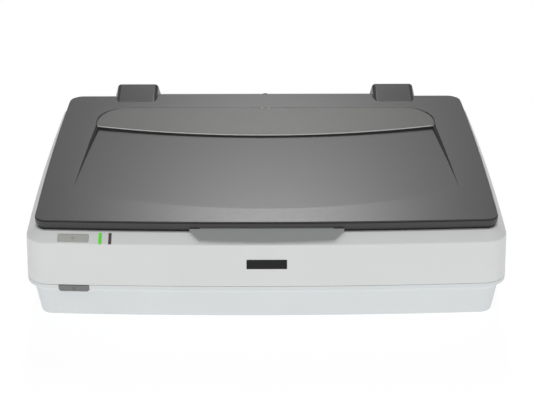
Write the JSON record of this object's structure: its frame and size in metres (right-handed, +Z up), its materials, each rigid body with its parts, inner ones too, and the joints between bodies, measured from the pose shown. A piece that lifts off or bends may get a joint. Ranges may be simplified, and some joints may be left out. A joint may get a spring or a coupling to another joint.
{
  "type": "flatbed scanner",
  "caption": "Large flatbed document scanner: light grey case with glass bed, dark recessed lid on rising rear hinges, front grip, and a belt-driven scan carriage on a guide rod.",
  "frame": {"origin": "on the desk plane, under the middle of the footprint", "axes": "+X to the user's right along the scan travel, +Y to the rear hinges, +Z up"},
  "size_m": [0.6626, 0.4599, 0.1591],
  "materials": {
    "case_plastic": "light grey moulded plastic, fine texture",
    "tub_plastic": "light grey moulded plastic, fine texture",
    "glass": "clear float glass",
    "black_tape": "black adhesive tape",
    "spring_steel": "bright rolled steel",
    "white_matte": "matte white",
    "plate_black": "satin black plate, plain",
    "foot_rubber": "soft black rubber",
    "steel": "zinc plated steel",
    "button_grey": "satin grey plastic",
    "pipe_green": "green translucent light pipe",
    "pipe_dark": "dark red translucent light pipe",
    "circuit_green": "green circuit board",
    "power_grey": "satin mid grey plastic",
    "mech_black": "black glass-filled plastic",
    "ground_steel": "ground and polished steel",
    "socket_black": "black plastic",
    "cable_white": "white flat cable",
    "motor_steel": "plated steel can",
    "gear_white": "natural acetal",
    "belt_rubber": "black toothed belt",
    "lamp_white": "frosted light guide",
    "mirror": "front silvered",
    "alloy": "black anodised and plain aluminium",
    "bronze": "sintered bronze",
    "lid_grey": "satin dark grey moulded plastic",
    "brow_grey": "satin warm grey moulded plastic",
    "lid_charcoal": "fine textured charcoal plastic",
    "mat_white": "white foam mat with smooth film",
    "handle_grey": "satin grey moulded plastic"
  },
  "bodies": {
    "base": {"lower_case": "tub_plastic", "upper_case": "case_plastic", "platen_glass": "glass", "glass_tape": "black_tape", "glass_clips": "spring_steel", "calibration_strip": "white_matte", "badge_plate": "plate_black", "rubber_feet": "foot_rubber", "case_screws": "steel", "ready_light_pipe": "pipe_green", "error_light_pipe": "pipe_dark", "control_board": "circuit_green", "switch_board": "circuit_green", "guide_rod": "ground_steel", "rod_clamps": "mech_black", "base_screws": "steel", "front_rail": "spring_steel", "main_board": "circuit_green", "usb_port": "steel", "option_socket": "socket_black", "ac_inlet": "socket_black", "power_supply": "circuit_green", "home_sensor": "socket_black", "ribbon_cable": "cable_white", "motor_bracket": "spring_steel", "drive_motor": "motor_steel", "idler_bracket": "spring_steel", "belt_spring": "spring_steel", "drive_belt": "belt_rubber", "hinge_guides": "mech_black"},
    "start_key": {"start_button": "button_grey"},
    "power_key": {"power_button": "power_grey"},
    "lock": {"transport_lock": "mech_black"},
    "drive_wheel": {"drive_gear": "gear_white"},
    "pinion": {"motor_rotor": "steel", "motor_pinion": "bronze"},
    "idler": {"idler_pulley": "steel"},
    "carriage": {"carriage_housing": "mech_black", "carriage_cover": "mech_black", "lamp_bars": "lamp_white", "fold_mirrors": "mirror", "lens_mount": "alloy", "lens_barrel": "alloy", "lens_glass": "glass", "sensor_board": "circuit_green", "image_sensor": "socket_black", "rod_bushes": "bronze", "rail_slider": "gear_white", "belt_clamp": "mech_black", "lock_catch": "spring_steel"},
    "hinge": {"hinge_posts": "mech_black", "hinge_pins": "ground_steel"},
    "lid": {"hinge_brackets": "spring_steel", "bracket_screws": "steel", "lid_top_shell": "lid_grey", "lid_brow": "brow_grey", "lid_frame": "lid_charcoal", "document_mat": "mat_white", "lid_handle": "handle_grey", "lid_bumpers": "foot_rubber"}
  },
  "joints": [
    {"name": "carriage_travel", "type": "slide", "parent": "base", "child": "carriage", "axis": [1, 0, 0], "range_m": [0, 0.45]},
    {"name": "drive_gear_spin", "type": "hinge", "parent": "base", "child": "drive_wheel", "pos_m": [0.285, -0.18, 0.045], "axis": [0, 0, -1], "range_deg": [0, 3450]},
    {"name": "pinion_spin", "type": "hinge", "parent": "base", "child": "pinion", "pos_m": [0.285, -0.1559, 0.035], "axis": [0, 0, 1], "range_deg": [0, 10350]},
    {"name": "idler_spin", "type": "hinge", "parent": "base", "child": "idler", "pos_m": [-0.29, -0.18, 0.05], "axis": [0, 0, -1], "range_deg": [0, 3450]},
    {"name": "start_press", "type": "slide", "parent": "base", "child": "start_key", "axis": [0.0307, 0.7064, -0.7071], "range_m": [0, 0.001]},
    {"name": "power_press", "type": "slide", "parent": "base", "child": "power_key", "axis": [0.0438, 0.999, 0], "range_m": [0, 0.001]},
    {"name": "lock_slide", "type": "slide", "parent": "base", "child": "lock", "axis": [0, 1, 0], "range_m": [0, 0.006]},
    {"name": "hinge_lift", "type": "slide", "parent": "base", "child": "hinge", "axis": [0, 0, 1], "range_m": [0, 0.025]},
    {"name": "lid_open", "type": "hinge", "parent": "hinge", "child": "lid", "pos_m": [0, 0.214, 0.1465], "axis": [-1, 0, 0], "range_deg": [0, 80]}
  ],
  "couplings": [
    {"joint": "drive_gear_spin", "follows": "carriage_travel", "rad_per_m": 133.33},
    {"joint": "pinion_spin", "follows": "carriage_travel", "rad_per_m": 400},
    {"joint": "idler_spin", "follows": "carriage_travel", "rad_per_m": 133.33}
  ]
}
